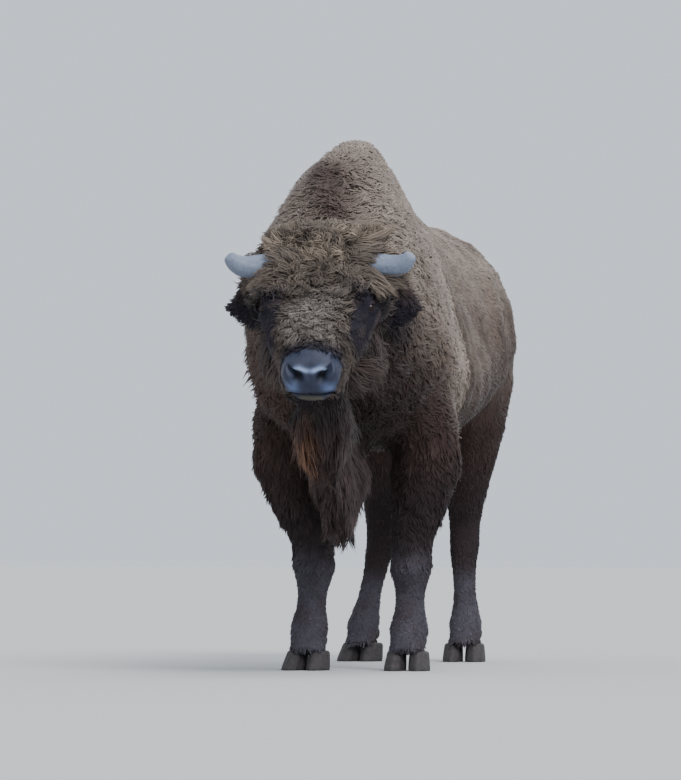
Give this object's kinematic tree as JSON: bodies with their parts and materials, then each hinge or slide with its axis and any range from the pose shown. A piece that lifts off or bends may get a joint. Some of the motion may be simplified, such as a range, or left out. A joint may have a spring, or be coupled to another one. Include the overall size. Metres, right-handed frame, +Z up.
{
  "type": "wisent",
  "caption": "Life-size European bison bull standing still, with high shoulders, a woolly head with short horns, a long throat mane and a tufted tail.",
  "frame": {"origin": "on the floor, under the middle of the bounding box", "axes": "+Z up, -Y the way the animal faces, +X to its left side"},
  "size_m": [0.7508, 2.615, 1.8042],
  "materials": {
    "woolly_coat": "thick matt wool, grey-brown",
    "body_coat": "short close hair, brown",
    "head_coat": "curly and short hair, dark brown",
    "leg_coat": "short close hair, dark brown",
    "long_hair": "long hanging hair, blackish brown",
    "bare_nose": "bare damp skin, blue-black",
    "horn": "rough grey horn",
    "hoof_horn": "dull dark horn",
    "eye": "wet, dark brown"
  },
  "bodies": {
    "root": {"left_foreleg_upper": "leg_coat", "left_foreleg_lower": "leg_coat", "left_hindleg_upper": "leg_coat", "left_hindleg_lower": "leg_coat", "right_foreleg_upper": "leg_coat", "right_foreleg_lower": "leg_coat", "right_hindleg_upper": "leg_coat", "right_hindleg_lower": "leg_coat", "rump": "body_coat", "barrel": "body_coat", "shoulders": "woolly_coat", "neck": "woolly_coat", "tail_dock": "body_coat", "tail_tuft": "long_hair", "sheath_tuft": "long_hair", "beard": "long_hair", "throat_mane": "long_hair", "face": "head_coat", "muzzle": "bare_nose", "jaw": "head_coat", "left_horn": "horn", "left_eye": "eye", "left_ear": "head_coat", "right_horn": "horn", "right_eye": "eye", "right_ear": "head_coat", "left_fore_outer_claw": "hoof_horn", "left_fore_outer_dewclaw": "hoof_horn", "left_fore_inner_claw": "hoof_horn", "left_fore_inner_dewclaw": "hoof_horn", "right_fore_outer_claw": "hoof_horn", "right_fore_outer_dewclaw": "hoof_horn", "right_fore_inner_claw": "hoof_horn", "right_fore_inner_dewclaw": "hoof_horn", "left_hind_outer_claw": "hoof_horn", "left_hind_outer_dewclaw": "hoof_horn", "left_hind_inner_claw": "hoof_horn", "left_hind_inner_dewclaw": "hoof_horn", "right_hind_outer_claw": "hoof_horn", "right_hind_outer_dewclaw": "hoof_horn", "right_hind_inner_claw": "hoof_horn", "right_hind_inner_dewclaw": "hoof_horn"}
  },
  "joints": []
}
